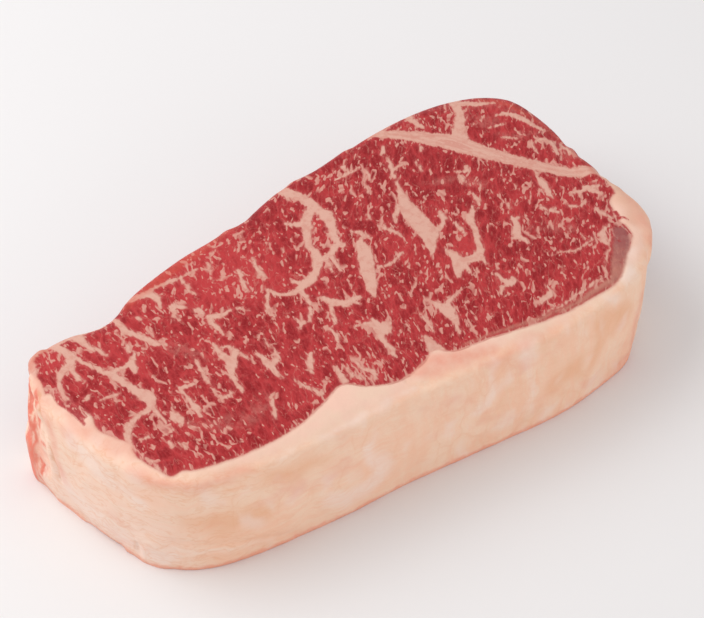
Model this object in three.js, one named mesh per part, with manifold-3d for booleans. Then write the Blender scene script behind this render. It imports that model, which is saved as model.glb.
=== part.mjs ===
// A thick-cut raw boneless beef strip steak, lying on its cut underside.
// Millimetres. +X runs along the fat cap to the broad end, +Y from there to the bare back edge, +Z is up.
// The origin is under the middle of the steak, on the surface that it lies on.
// The whole steak is one closed block first. Three knife cuts then part it along its natural seams
// into the main muscle, the fat cap round its front and ends, the seam of fat and the small muscle behind it.

import * as THREE from "three";
import { mergeVertices } from "three/addons/utils/BufferGeometryUtils.js";
import Module from "manifold-3d";

const wasm = await Module();
wasm.setup();

// Driving dimensions
const THICKNESS = 33; // cut a little over an inch and a quarter thick
const CUT_GAP = 0.3; // between neighbouring pieces
const FAT_RIM = { width: 7, drop: 2 }; // the sloping rim of the top face above the fat cap
const BARE_RIM = { width: 3.5, drop: 1 }; // and above the bare back edge
const RIM_ROUND = 1.4; // height of the rounded corner below that slope
const SIDE_BULGE = 1.1; // how far the sides swell between their top and bottom edges
const FOOT_ROUND = 1.5; // rounding where the sides meet the underside
const RELIEF = 0.45; // height of the soft waves in the top face
const LUMP = 0.6; // height of the lumps in the trimmed sides

// How far the sides move outwards on their way down to the underside, and the stretch of the length
// over which that grows to its full amount
const NARROW_END = { spread: 0.8, from: -45, full: -80 };
const BROAD_END = { spread: -7, from: 62, full: 90 };

// The rim is the fat cap's where the outline faces the front, and the bare one where it faces the back
const FACING_FRONT = -0.3;
const FACING_BACK = 0.5;

// Mesh fineness
const OUTLINE_STEPS = 132;
const BLADE_STEP = 3.5; // along a cut
const BLADE_LEVELS = 6; // over twice the thickness, so that a slanting cut keeps its width
const HEART = new THREE.Vector3(-24, -7, 0); // what the rings of the top face and underside close in on
const TOP_RINGS = [0, 0.12, 0.26, 0.4, 0.54, 0.69]; // shares of the way from the heart to the outline
const RIM_RINGS = [0, 0.34, 0.67, 1]; // shares of the way out over the rim
const SIDE_RINGS = [1, 0.82, 0.6, 0.38, 0.18]; // shares of the way up the side
const FOOT_RINGS = [0.9, 0.45, 0]; // shares of the quarter turn under the side
const UNDERSIDE_RINGS = [0.85, 0.6, 0.3, 0];

const LEAN = { color: "#b2343a", roughness: 0.42, metalness: 0 };
const FAT = { color: "#eccab2", roughness: 0.5, metalness: 0 };

// The edge of the top face, from the left tip along the bare back edge, round the broad end
// and back along the fat cap
const TOP_EDGE = [
  [-88, 14.5], [-83.5, 21.5], [-77, 24.6], [-68, 25.2], [-61.5, 23.5], [-55.5, 24.6], [-48.3, 29],
  [-28.9, 35], [-16, 36.8], [-10, 38.4], [-6.8, 37.6], [-3, 39.4], [11, 44.3], [22, 44.9], [44, 49.3],
  [63, 50.5], [73.4, 49.2], [83, 45.3], [89.7, 38], [91.4, 17], [88.2, 6], [89, 1], [87.6, -3.4],
  [89.4, -9], [90, -18], [87.8, -25.5], [79.8, -35.3], [65, -43.8], [38, -48], [7, -46], [-55, -44],
  [-73, -37.8], [-80.5, -27],
];

// Where the fat cap meets the lean, from past the broad end, along the front and out past the left end
const CAP_SEAM = [
  [94, -11], [84.5, -12.5], [77.5, -31], [72, -35.5], [65, -40.3], [41, -43.4], [29.5, -41.5],
  [10.5, -37.8], [6.5, -34.5], [1.5, -36.8], [-7, -38.9], [-15, -36.8], [-21, -32], [-27.8, -34.3],
  [-38, -37.8], [-50, -38.8], [-71.5, -35.6], [-75.5, -32], [-80.8, -9.5], [-84, 5], [-93, 12],
];

// The two sides of the seam of fat that parts the small muscle from the main one,
// from past the back edge to past the broad end
const SEAM_INNER = [[41, 56], [45.2, 47], [53, 38.6], [69.5, 14.8], [80.8, 0.5], [94, -6]];
const SEAM_OUTER = [[45.2, 57], [49, 48.6], [65, 33.5], [69.3, 24], [84.2, 2.6], [95.5, -2.5]];

const clamp01 = (value) => Math.min(1, Math.max(0, value));
const ramp = (value, from, to) => THREE.MathUtils.smoothstep(clamp01((value - from) / (to - from)), 0, 1);

/** Slants the ends of an upright form outwards or inwards on the way down to the underside. */
function slantEnds(geometry) {
  const position = geometry.attributes.position;
  for (let i = 0; i < position.count; i += 1) {
    const x = position.getX(i);
    const depth = 1 - position.getZ(i) / THICKNESS;
    const narrow = NARROW_END.spread * ramp(x, NARROW_END.from, NARROW_END.full);
    const broad = BROAD_END.spread * ramp(x, BROAD_END.from, BROAD_END.full);
    position.setX(i, x + (broad - narrow) * depth);
  }
  return geometry;
}

/** Soft waves in the top face, as a drop from the full thickness. */
function reliefAt(x, y) {
  const broad = Math.sin(x / 17 + 0.6) * Math.cos(y / 13 - 0.4);
  const narrow = 0.5 * Math.sin(x / 7.4 - y / 9.5);
  return RELIEF * ((broad + narrow) / 1.5 - 1);
}

/** Lumps of the trimmed side at a place of the outline, lower towards the top. */
function lumpAt(x, y, rise) {
  const folds = Math.sin(x / 7.8 + y / 5.2) * Math.sin(x / 20 - y / 14.8 + 1.2);
  return LUMP * folds * (1 - 0.6 * rise);
}

/** The block's section, from the heart of the top face out over the rim and down to the heart of the
 *  underside. In each ring share is its size as a share of the outline, inset its distance inside it,
 *  height its height, and swell how much of the side's lumps it takes. */
function sectionWith(rim) {
  const plain = { share: 1, inset: 0, height: 0, swell: 0 };
  const top = TOP_RINGS.map((share) => ({ ...plain, share, height: THICKNESS }));
  const slope = RIM_RINGS.map((out) => ({
    ...plain,
    inset: RIM_ROUND / 2 + rim.width * (1 - out),
    height: THICKNESS - rim.drop * out ** 1.8,
  }));
  const side = SIDE_RINGS.map((up) => ({
    ...plain,
    inset: -SIDE_BULGE * Math.sin(Math.PI * up),
    height: THREE.MathUtils.lerp(FOOT_ROUND, THICKNESS - rim.drop - RIM_ROUND, up),
    swell: 1,
  }));
  const foot = FOOT_RINGS.map((turn) => ({
    ...plain,
    inset: FOOT_ROUND * (1 - Math.sin((turn * Math.PI) / 2)),
    height: FOOT_ROUND * (1 - Math.cos((turn * Math.PI) / 2)),
    swell: turn,
  }));
  const underside = UNDERSIDE_RINGS.map((share) => ({ ...plain, share }));
  return [...top, ...slope, ...side, ...foot, ...underside];
}

/** The rim at a place of the outline, from which way the outline faces there. */
function rimFacing(outward) {
  const bare = ramp(outward.y, FACING_FRONT, FACING_BACK);
  return {
    width: THREE.MathUtils.lerp(FAT_RIM.width, BARE_RIM.width, bare),
    drop: THREE.MathUtils.lerp(FAT_RIM.drop, BARE_RIM.drop, bare),
  };
}

/** The spaced points of the outline with their outward directions. */
function outlinePoints() {
  const corners = TOP_EDGE.map(([x, y]) => new THREE.Vector3(x, y, 0));
  const spaced = new THREE.CatmullRomCurve3(corners, true, "centripetal").getSpacedPoints(OUTLINE_STEPS);
  return spaced.map((point, index) => {
    const before = spaced[(index + OUTLINE_STEPS - 1) % OUTLINE_STEPS];
    const after = spaced[(index + 1) % OUTLINE_STEPS];
    const along = after.clone().sub(before).normalize();
    return { point, outward: new THREE.Vector3(-along.y, along.x, 0) };
  });
}

/** The place of one point of a ring: the outline there, set in, drawn to the heart and given its height. */
function placeOnBlock({ point, outward }, ring) {
  const rise = ring.height / THICKNESS;
  const reach = ring.swell * lumpAt(point.x, point.y, rise) - ring.inset;
  const edge = point.clone().addScaledVector(outward, reach);
  const place = new THREE.Vector3().lerpVectors(HEART, edge, ring.share);
  place.z = ring.height + reliefAt(place.x, place.y) * ramp(rise, 0.8, 1);
  return place;
}

/** The whole steak as one closed block, from a turned form whose rings are drawn out to the outline. */
function blockGeometry() {
  const turned = sectionWith(FAT_RIM).map(({ share, height }) => new THREE.Vector2(share, height));
  const block = new THREE.LatheGeometry(turned, OUTLINE_STEPS);
  const position = block.attributes.position;
  outlinePoints().forEach((edge, turn) => {
    sectionWith(rimFacing(edge.outward)).forEach((ring, level) => {
      const place = placeOnBlock(edge, ring);
      position.setXYZ(turn * turned.length + level, place.x, place.y, place.z);
    });
  });
  return slantEnds(block);
}

/** A closed solid from a geometry, its doubled points merged and its empty triangles dropped. */
function solidOf(geometry) {
  geometry.deleteAttribute("normal");
  geometry.deleteAttribute("uv");
  const merged = mergeVertices(geometry, 1e-4);
  const corners = Array.from(merged.index.array);
  const kept = [];
  for (let i = 0; i < corners.length; i += 3) {
    const [a, b, c] = corners.slice(i, i + 3);
    if (a !== b && b !== c && c !== a) kept.push(a, b, c);
  }
  const vertProperties = Float32Array.from(merged.attributes.position.array);
  return new wasm.Manifold(new wasm.Mesh({ numProp: 3, vertProperties, triVerts: Uint32Array.from(kept) }));
}

/** A thin wall that follows a drawn line through the whole steak, slanting where the steak does. */
function knifeCut(line) {
  const corners = line.map(([x, y]) => new THREE.Vector3(x, y, 0));
  const curve = new THREE.CatmullRomCurve3(corners, false, "centripetal");
  const steps = Math.round(curve.getLength() / BLADE_STEP);
  const left = [];
  const right = [];
  for (let i = 0; i <= steps; i += 1) {
    const point = curve.getPointAt(i / steps);
    const along = curve.getTangentAt(i / steps);
    const across = new THREE.Vector3(-along.y, along.x, 0).multiplyScalar(CUT_GAP / 2);
    left.push(point.clone().add(across));
    right.unshift(point.clone().sub(across));
  }
  const outline = new THREE.Shape([...left, ...right].map((p) => new THREE.Vector2(p.x, p.y)));
  const upright = { depth: 2 * THICKNESS, steps: BLADE_LEVELS, bevelEnabled: false };
  const wall = new THREE.ExtrudeGeometry(outline, upright);
  wall.translate(0, 0, -THICKNESS / 2);
  return solidOf(slantEnds(wall));
}

/** The four pieces that the cuts part the block into, the largest first. */
function partedPieces() {
  let block = solidOf(blockGeometry());
  for (const line of [CAP_SEAM, SEAM_INNER, SEAM_OUTER]) {
    block = block.subtract(knifeCut(line));
  }
  return block.decompose().sort((a, b) => b.volume() - a.volume());
}

/** A named mesh from a solid, with the finish of its material. */
function namedPiece(name, solid, finish) {
  const { vertProperties, triVerts } = solid.getMesh();
  const geometry = new THREE.BufferGeometry();
  geometry.setAttribute("position", new THREE.BufferAttribute(vertProperties, 3));
  geometry.setIndex(new THREE.BufferAttribute(triVerts, 1));
  geometry.computeVertexNormals();
  const mesh = new THREE.Mesh(geometry, new THREE.MeshStandardMaterial(finish));
  mesh.name = name;
  return mesh;
}

const [eye, cap, small, seam] = partedPieces();
const steak = new THREE.Group();
steak.add(
  namedPiece("lean_eye", eye, LEAN),
  namedPiece("fat_cap", cap, FAT),
  namedPiece("side_muscle", small, LEAN),
  namedPiece("fat_seam", seam, FAT),
);

// The steak stands on its underside with its middle over the origin
const reach = new THREE.Box3().setFromObject(steak);
const middle = reach.getCenter(new THREE.Vector3());
for (const piece of steak.children) {
  piece.geometry.translate(-middle.x, -middle.y, -reach.min.z);
}

export default steak;
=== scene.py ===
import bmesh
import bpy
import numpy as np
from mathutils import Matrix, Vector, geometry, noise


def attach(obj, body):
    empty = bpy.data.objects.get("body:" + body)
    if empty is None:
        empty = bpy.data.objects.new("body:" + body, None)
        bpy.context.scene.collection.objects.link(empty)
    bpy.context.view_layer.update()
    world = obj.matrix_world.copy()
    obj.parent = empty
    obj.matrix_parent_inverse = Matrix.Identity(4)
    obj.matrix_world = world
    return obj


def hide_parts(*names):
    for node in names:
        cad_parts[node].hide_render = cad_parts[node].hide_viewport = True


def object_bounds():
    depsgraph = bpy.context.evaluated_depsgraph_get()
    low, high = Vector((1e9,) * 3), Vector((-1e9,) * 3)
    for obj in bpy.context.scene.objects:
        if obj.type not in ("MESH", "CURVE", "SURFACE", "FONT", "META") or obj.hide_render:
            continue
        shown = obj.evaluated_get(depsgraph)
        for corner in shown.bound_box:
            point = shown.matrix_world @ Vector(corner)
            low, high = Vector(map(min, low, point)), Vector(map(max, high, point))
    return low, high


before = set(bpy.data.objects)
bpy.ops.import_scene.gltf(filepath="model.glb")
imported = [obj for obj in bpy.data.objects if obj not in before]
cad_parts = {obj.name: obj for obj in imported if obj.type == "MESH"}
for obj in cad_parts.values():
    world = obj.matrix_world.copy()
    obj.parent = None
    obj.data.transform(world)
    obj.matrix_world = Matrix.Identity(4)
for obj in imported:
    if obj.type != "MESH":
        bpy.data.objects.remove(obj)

# A thick-cut raw boneless beef strip steak, lying on a pale table under soft light.
# The lists of lines and strokes are in millimetres of the frame: +X runs along the fat cap to the broad end,
# +Y from the fat cap to the bare back edge, +Z is up. The frame itself is in metres.

bl_info = {
    "name": "Strip Steak",
    "version": (1, 0, 0),
    "blender": (4, 5, 0),
    "location": "3D View > Sidebar > Steak",
    "description": "Dresses a boneless strip steak with marbled lean, a fat cap and a seam of fat",
    "category": "Object",
}

MM = 0.001
CAD_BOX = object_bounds()
NODES = ("lean_eye", "fat_cap", "side_muscle", "fat_seam")
THICKNESS = CAD_BOX[1].z / MM
FAR = 30.0  # a distance in millimetres that counts as out of reach
REACH = 6.0  # how far from a stroke its distance is worked out, in millimetres
OVERLAP = 5.0  # how far the cutters pass the faces of the steak, in millimetres
OUTSIDE = (130.0, 90.0)  # how far the cutters reach along and across the steak, in millimetres
GROOVE_DEPTH, GROOVE_WIDTH = 0.3, 0.9  # of the groove between the lean and the cap, in millimetres
FOOT_DROP = 1.1  # how far the rounded foot is drawn down again, in millimetres
CLEARANCE = 0.01  # how far the form keeps inside the solids' box, in millimetres
SIDES_BELOW = 1.2  # how far below the top the sides begin, in millimetres
SHARP = 0.9  # the angle between faces from which an edge stays sharp, in radians
LAMP_SIZE = (0.9, 0.7)  # in metres
SENSOR = 36  # the width of the camera's sensor, in millimetres

# Random waves: their size in millimetres, how far they reach and their seed
BROAD_LUMPS = (8, 0.6, 2)
SMALL_LUMPS = (3.4, 0.3, 4)
BENT_FOLDS = (2.5, 0.5, 6)
BROAD_RAGS = (3.1, 0.4, 1)
FINE_RAGS = (1.3, 0.25, 5)
VEIN_DRIFT = (17, 0.16, 11)  # the reach is for each millimetre of depth
TORN_FLESH = (2.6, 0.7, 3)
SOFT_PLACES = (7, 2.2, 8)

# Where each thing begins and where it is full, in millimetres: across the line between lean and cap
LUMPY_FAT = (0.5, -1.5)
CAP_FAT = (0.2, -1.0)
WHOLE_LEAN = (0.6, 2.6)

# The same along the steak
NARROW_FACE = (-84, -86)
GRAIN_TURNS = (-75, 55)
STREAKS_TURN = (-35, 10)
WRINKLES = (-35, -70)
PALE_END = (-66, -84)
MEMBRANE_STARTS, MEMBRANE_ENDS = (-42, -26), (34, 22)
DARK_SKIN_STARTS, DARK_SKIN_ENDS = (60, 75), (78.4, 77.4)

# The same in height
LUMPS_ABOVE = (0.5, 3)
FOOT_BELOW = (5, 0)
FOOT_LINE = (2.2, 0.6)
PALE_BELOW = (24, 10)
GROOVE_ABOVE = (30, 32)
CUT_FACE_ABOVE = (30.6, 32.2)

# How much the fibres lean over at the narrow end, and how much more at the broad end
GRAIN_LAY, GRAIN_MORE = 0.12, 0.43

# How closely the lobes of the fat and the cells, slivers and clouds of the lean lie, along the three axes
LOBES = (0.13, 0.13, 0.08)
SMALL_CELLS = (0.72, 0.27, 0.17)
LARGE_CELLS = (0.34, 0.17, 0.1)
SMALL_SLIVERS = (0.8, 0.36, 0.24)
LARGE_SLIVERS = (0.6, 0.34, 0.2)
CLOUDS = (0.3, 0.2, 0.1)

# How far the sides have moved outwards at the underside, and where along the length that begins and is full
NARROW_END = (-0.8, -46, -81)
BROAD_END = (-7.0, 61, 89)

# Where the fat cap meets the lean, from past the broad end, along the front and out past the left end
CAP_SEAM = [
    (93.3, -12.1), (85.4, -13.2), (81.6, -15.2), (80.2, -18.4), (78.4, -21), (78.2, -23.6), (78.4, -26.4),
    (77.5, -29.8), (75.3, -32), (71.9, -34.9), (68.4, -37.2), (65.2, -40.2), (61.6, -42.2), (52.5, -43.2),
    (43.6, -43.8), (37.2, -43.2), (28.8, -42), (18.1, -40), (9.8, -38.9), (5.8, -35.6), (0.8, -37.9),
    (-7.7, -40), (-15.7, -37.9), (-21.7, -33.1), (-28.5, -35.4), (-38.7, -38.9), (-50.7, -39.9),
    (-63.6, -38.2), (-69.3, -36.4), (-71.4, -35), (-74.1, -34.7), (-75.7, -31.6), (-77.3, -27),
    (-77.9, -22.8), (-77.1, -20), (-78.8, -16.3), (-80.8, -12.2), (-81.1, -9.8), (-80.1, -6.4),
    (-81.5, -2.4), (-83.1, 1.7), (-84.3, 7.2), (-93.7, 10.9),
]

# The two sides of the seam of fat behind the main muscle
SEAM_INNER = [(40.3, 54.9), (44.5, 45.9), (52.3, 37.5), (68.8, 13.7), (80.1, -0.6), (93.3, -7.1)]
SEAM_OUTER = [(44.5, 55.9), (48.3, 47.5), (64.3, 32.4), (68.6, 22.9), (83.5, 1.5), (94.8, -3.6)]

# The veins of fat that stand out in the cut face: (x, y, width) at each corner
VEINS = [
    # the narrow end
    [(-91, 5, 3), (-88.5, 11, 5), (-85.5, 17, 4.6), (-83, 21, 2.6), (-79, 22.6, 1.4), (-72, 22.6, 2),
     (-66, 22.3, 1.8), (-60, 21.8, 1)],
    [(-74.5, 22, 3), (-73.8, 18, 2.2), (-73.4, 15.5, 2.6), (-75.5, 13.4, 2.2), (-78.4, 12, 1.8),
     (-80.4, 9.9, 1.3), (-81.5, 7.6, 1.1), (-82.3, 4, 1.3), (-82.5, 1, 0.8)],
    [(-75.2, 13.2, 2.2), (-76, 10.5, 1.5), (-76.2, 7, 1.3), (-75.5, 5.2, 0.7)],
    [(-73.2, 15, 1.6), (-71.4, 11, 1.1), (-70.4, 8, 1.4), (-69.4, 5.2, 1.8), (-68, 3.4, 2.3),
     (-67.4, 0.5, 2.3), (-66.7, -2.2, 1.9), (-66.2, -5, 2.5), (-65.2, -7.4, 4), (-64.6, -9.6, 3.2),
     (-65.6, -11.4, 2.2), (-67, -12.5, 1.6), (-69.4, -12.8, 1.5), (-72, -13.6, 1.5), (-74.5, -14.6, 1.6),
     (-76.2, -16.6, 2), (-77.2, -19.4, 1.4), (-77.8, -21.4, 0.8)],
    [(-65.6, -12, 1.6), (-66, -15, 1.2), (-66, -17, 1), (-66, -19.4, 0.6)],
    [(-68.4, 22, 3.4), (-68, 18.6, 2), (-67.6, 16, 1.6), (-66.4, 13.5, 1.1), (-65.6, 10.8, 0.6)],
    [(-68.6, 3.8, 2), (-66, 4.6, 1.5), (-63.6, 4.4, 1.3), (-61.6, 4.8, 2.1), (-60.2, 6.2, 1.3),
     (-59, 7.4, 0.6)],
    [(-61.8, 4.4, 2), (-62.4, 2.6, 1.6), (-62.9, 1, 0.6)],
    [(-59.2, 10.8, 1.1), (-59.8, 8.6, 1.3)],
    [(-56.4, 22, 1.3), (-56.7, 19, 1.6), (-56.8, 16.4, 2.4), (-55.5, 14.2, 2.1), (-54.4, 12, 1.7),
     (-53.5, 10, 2), (-52.8, 8, 2), (-51.5, 6.6, 1.3), (-50.4, 5.4, 0.6)],
    [(-56.8, 16.2, 1.8), (-58.2, 15.4, 0.8)],
    [(-78.4, -0.4, 0.8), (-76.6, 0.4, 0.5)],
    [(-75.2, -3, 0.7), (-72.4, -2.9, 0.9), (-70.6, -3.3, 0.6)],
    [(-63.4, -16.4, 0.8), (-63, -18.4, 2.6), (-62.6, -20.2, 2.4), (-62.8, -21.8, 0.8)],
    [(-56.6, -10.4, 0.8), (-56.9, -14, 0.8), (-57.1, -16.6, 1.3), (-57, -19.4, 2.1), (-57.3, -22.2, 0.8)],
    [(-56.2, -10.6, 1.2), (-54.8, -10.8, 1.4), (-52.8, -11.2, 1.2)],
    [(-74, -20.4, 1.2), (-72.4, -21, 0.6)],
    [(-69, -25.4, 1), (-69.3, -28, 0.8)],
    [(-67.4, -27.4, 0.7), (-66.8, -30, 1)],
    [(-68.6, -22.6, 0.7), (-66.4, -22.4, 1)],
    [(-76.6, -26.4, 0.7), (-75.8, -29, 0.7), (-75.7, -31.6, 0.9)],
    [(-50.1, -15.8, 0.7), (-50, -19.8, 1.3), (-48.4, -20.5, 0.9), (-46.8, -19.4, 0.6)],
    [(-47.4, -3.8, 0.8), (-48.4, -7.4, 1), (-49.4, -11.6, 0.8), (-49.3, -14.2, 0.6)],
    [(-51.4, 19, 0.8), (-50.8, 17.6, 1)],
    # between the narrow end and the middle
    [(-48.4, 26.4, 2.6), (-44.4, 25.4, 2.8), (-43, 23, 2.1), (-43.3, 20.4, 1.2), (-44.2, 18.6, 0.7)],
    [(-44.4, 25.8, 1.4), (-40, 26.6, 1.2), (-36.6, 26.1, 1.2), (-34, 25.6, 1)],
    [(-41, 17.6, 1.6), (-42.3, 15, 1.1), (-43.6, 12.4, 0.6)],
    [(-41.4, 17.4, 1.6), (-39.6, 16, 1.5), (-38.5, 15.3, 0.9)],
    [(-34, 25.8, 1.1), (-33.8, 22.4, 1.1), (-34.1, 19.4, 1), (-33.8, 17.8, 0.6)],
    [(-34, 25.8, 1), (-31, 26.2, 0.9), (-28, 26.1, 0.6)],
    [(-24.4, 26.6, 0.9), (-25, 24.4, 0.7)],
    [(-36.6, 12.3, 1.7), (-36, 10.8, 1.7)],
    [(-35.6, 9, 1.1), (-36.2, 5.6, 1.6), (-36, 2.4, 1.3), (-36.2, 0.3, 0.8)],
    [(-35.6, 8.6, 1.3), (-33.6, 7, 1.4), (-31, 6.8, 1), (-29.4, 7.3, 0.7)],
    [(-27.4, 6.9, 0.7), (-26, 4.8, 0.6)],
    [(-19.2, 19.2, 1.3), (-20.4, 16, 1.1), (-21, 13.4, 1.3), (-21.8, 10.8, 0.8)],
    [(-13.4, 21.3, 0.8), (-14.3, 18, 1.3), (-14.8, 15, 1.4), (-15, 12.3, 0.8)],
    [(-40.4, -1.4, 1), (-40.8, -4.6, 1.4), (-40.8, -7, 2), (-40, -9.4, 3.4), (-41.7, -11.4, 2.8),
     (-42.8, -13.6, 1.9), (-43.3, -16, 1.5), (-43.6, -18.4, 1.5), (-44.1, -20.8, 0.7)],
    [(-37.2, -5, 0.9), (-37.4, -7.2, 1.6), (-39, -9, 2.2)],
    [(-39.6, -3.6, 0.6), (-38, -4, 0.7), (-37.2, -5, 0.8)],
    [(-36.8, -8.8, 0.8), (-35.6, -12, 0.6)],
    [(-33, -11.2, 1.2), (-32.8, -14, 1.7), (-32.8, -17, 1.8), (-33, -19.4, 1.3), (-32.8, -22.2, 0.7)],
    [(-32.6, -16.8, 1.6), (-30.6, -15.9, 1.3), (-29, -15.2, 0.9), (-28.7, -12, 0.6), (-29, -8.2, 0.6)],
    [(-21.4, -18.9, 0.8), (-22.9, -20.4, 1.5), (-24, -22.4, 2.1), (-24.7, -23.8, 1.3), (-25.6, -25.2, 0.6)],
    [(-38, -26.2, 0.7), (-39.4, -26.8, 0.9), (-40.3, -29.5, 1.1), (-41.5, -31.6, 1.2), (-43.1, -34.2, 0.7)],
    [(-30.4, -24.8, 0.6), (-29.9, -28, 0.9), (-28.8, -30.6, 1.2), (-28, -33, 1.8)],
    [(-19.4, -26.8, 0.8), (-19.8, -29.4, 1.2), (-20.3, -32.4, 2.2)],
    # the long looping vein of the middle
    [(-21.3, -1.4, 0.7), (-21.5, 1.2, 1.3), (-20.4, 3, 1.1), (-18.9, 5.6, 0.9), (-17.2, 8.2, 0.9)],
    [(-16.6, 8, 1.1), (-16.2, 5.8, 1.6), (-14.2, 4.2, 1.2), (-11, 3.4, 1.8), (-8, 4.3, 2.8), (-5, 5, 2.8),
     (-2.4, 7, 2.4), (0, 9.4, 2.7), (1.1, 11.2, 2.6), (2, 14, 2.2), (2.4, 17, 2.2), (3.6, 19.6, 2.2),
     (5.4, 22, 2.7), (6.6, 24.6, 3.2), (8.4, 27, 3), (10.6, 29, 2.8), (12.4, 30.4, 2.6)],
    [(-8.4, 5.4, 1.6), (-9.4, 7.2, 0.8)],
    [(-10, 2.8, 1.8), (-10.3, 0, 1.3), (-11, -3, 0.9), (-13, -6.2, 0.9), (-15, -8.5, 0.9), (-17, -7.6, 1),
     (-18.6, -9.2, 0.6)],
    [(-17.3, -5.4, 0.7), (-17, -7.6, 1)],
    [(2.3, 28.3, 0.9), (4, 26.6, 1.8), (5.8, 25.4, 2.6)],
    [(9.6, 43, 3.2), (11, 38.6, 3.5), (12.4, 35, 3.7), (12.9, 31.4, 3.2), (13, 28, 2.7), (13.6, 25, 3.7),
     (12.6, 22, 3), (11.5, 19, 2.4), (10, 16.4, 2.2), (9.3, 14, 1.8), (9.5, 11.6, 2.2)],
    [(8.7, 41, 1.2), (9, 36.4, 1)],
    [(0, 9, 1.4), (3, 10, 1.6), (6, 11, 1.6), (8, 12.4, 2), (9.6, 12, 1.8)],
    [(2.6, 9.4, 1.2), (2, 6.2, 0.9), (1.2, 3.8, 0.5)],
    [(4.5, 9.8, 1.4), (3.9, 6, 1), (3.2, 3, 0.6)],
    [(-6.8, -2.6, 1.1), (-6.2, -4.8, 2), (-4.6, -6.8, 2.2), (-3, -8.4, 2.7), (-1, -8.2, 2.2),
     (1.2, -8.4, 1.2)],
    [(-6.4, -6.2, 1), (-8, -9, 0.9), (-8.8, -11.4, 1.3), (-9.9, -13.2, 0.6)],
    [(-1, -8.6, 1.4), (-0.2, -10.6, 0.6)],
    [(-12, -13.8, 0.6), (-12.3, -17, 1.3), (-13.1, -19.6, 0.8)],
    [(-6, -17, 0.6), (-3.6, -17.8, 1), (-2, -20, 2.4), (-1, -22.4, 4.4), (0.2, -21.4, 3.6),
     (2, -21.2, 1.2)],
    [(-1.4, -17.4, 1.2), (-0.9, -20, 2.4)],
    [(-2.8, -23.6, 2), (-3.4, -27, 1.4), (-3.5, -30, 1.5), (-4.4, -32.4, 0.8)],
    [(-13.4, -27.4, 0.6), (-14.4, -31, 0.9), (-12.4, -34, 1.3), (-13.6, -36.6, 0.8)],
    [(-17, -29, 0.5), (-17.6, -32, 0.9), (-16.4, -34.4, 0.7)],
    [(15.6, 11.2, 0.8), (14.3, 9.6, 2.2), (13.4, 7, 3.7), (12.3, 4.4, 4.2), (10.5, 1.5, 4.3), (9, -1.5, 4),
     (7.5, -4.5, 3.4), (6, -7.5, 2.6), (4.7, -10.4, 1.2)],
    [(12.4, -1.8, 1.2), (15, -2.3, 1), (17.5, -1.9, 1), (19.6, -0.5, 1), (21.4, -0.5, 0.6)],
    [(15.4, 14.8, 0.8), (16.5, 12.6, 1.4), (17.6, 10.2, 0.8)],
    [(24.3, 12.2, 0.7), (23.2, 10.6, 1), (24.6, 8.6, 1.2), (25, 5.4, 0.6)],
    [(22.7, 18.2, 0.8), (22.1, 16.4, 1.2)],
    [(6.1, -37, 5), (6.6, -33.4, 2.6), (6.5, -30.2, 1.2)],
    [(10.6, -23.8, 0.6), (10.8, -27, 1), (9.7, -30.4, 0.6)],
    [(16.3, -20.6, 0.9), (17, -23, 2.6), (17.8, -26, 3.5), (17.3, -29, 2.2), (16.3, -31.5, 1.3),
     (15.2, -34.4, 0.7)],
    [(18.6, -24.4, 2.2), (20.9, -22.6, 1), (23.8, -21.8, 0.6)],
    # the broad end's half of the main muscle
    [(37.7, 25.6, 0.8), (36.5, 22, 1.3), (35.5, 19.4, 2.2), (34.5, 17, 3.3), (33.6, 14.4, 4.8),
     (33, 11.4, 5.4), (32.7, 8, 5.9), (32.4, 5, 6), (32, 2, 5.6), (30.5, -0.6, 3.8), (29, -3, 2.7),
     (27.7, -4.8, 1)],
    [(32, 16.6, 1.6), (30.4, 14.6, 1.3), (28.4, 13.5, 1.1), (27.2, 11.2, 0.6)],
    [(34.4, 2, 2), (36.1, 2.4, 1.6), (37.8, 3.2, 1.1), (39.4, 5, 1.5), (39.9, 8.3, 0.8)],
    [(31.9, -6, 1), (32.5, -9, 2.7), (32, -12, 3.8), (30.4, -13.6, 3.2), (29, -15, 1.8),
     (27.9, -16.8, 0.8)],
    [(33.5, -12.6, 3), (36.4, -13.4, 2.7), (38.6, -12.3, 2.2), (40.6, -9.4, 1.7), (42.1, -6.4, 1.7),
     (43.6, -3.4, 1.6), (44.4, -0.4, 1.9), (45.2, 1.4, 2.7), (46.6, 2.4, 2.1), (48, 3.6, 1.3),
     (49.2, 5.2, 0.7)],
    [(32.6, -13, 2), (31.4, -17, 0.9)],
    [(38, -13.6, 1.4), (37.4, -17, 0.6)],
    [(40.7, 1.8, 1), (40.3, -1, 1.4), (40.2, -2.8, 0.6)],
    [(37.1, -21.6, 0.8), (36.8, -24.8, 1.6), (37.6, -26.8, 2.6), (39, -26.6, 2), (39.6, -25.2, 0.8)],
    [(37, -26.6, 1.9), (34.6, -27.2, 1.2), (33.3, -28.8, 0.6)],
    [(29.6, 39.6, 1.6), (29.4, 36.6, 1.3)],
    [(24.6, 36.2, 0.7), (28.6, 36.4, 1.1), (33, 36.5, 0.9)],
    [(34, 35, 0.6), (33, 32.4, 1), (32, 30.4, 0.6)],
    [(29.6, 28.4, 1.1), (28.5, 26.3, 0.7)],
    [(43.8, 40.4, 1), (43, 39, 1.5), (41.8, 37.6, 0.7)],
    [(42, 35.4, 0.9), (41, 33, 1.1), (40, 31, 1.2), (39, 28.6, 1.3), (38.5, 26.8, 0.7)],
    [(40, 30, 1), (43, 30.6, 0.9), (44.6, 30.2, 0.6)],
    [(39, -38.2, 0.8), (41.4, -37, 2), (43.4, -36.5, 1.8), (44.8, -35, 0.9), (45.3, -32.8, 0.6)],
    [(55, -5.6, 1.1), (54, -8.4, 2), (52.5, -11, 2.4), (51.2, -12.8, 2.3), (51.8, -14.8, 1.3),
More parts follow.
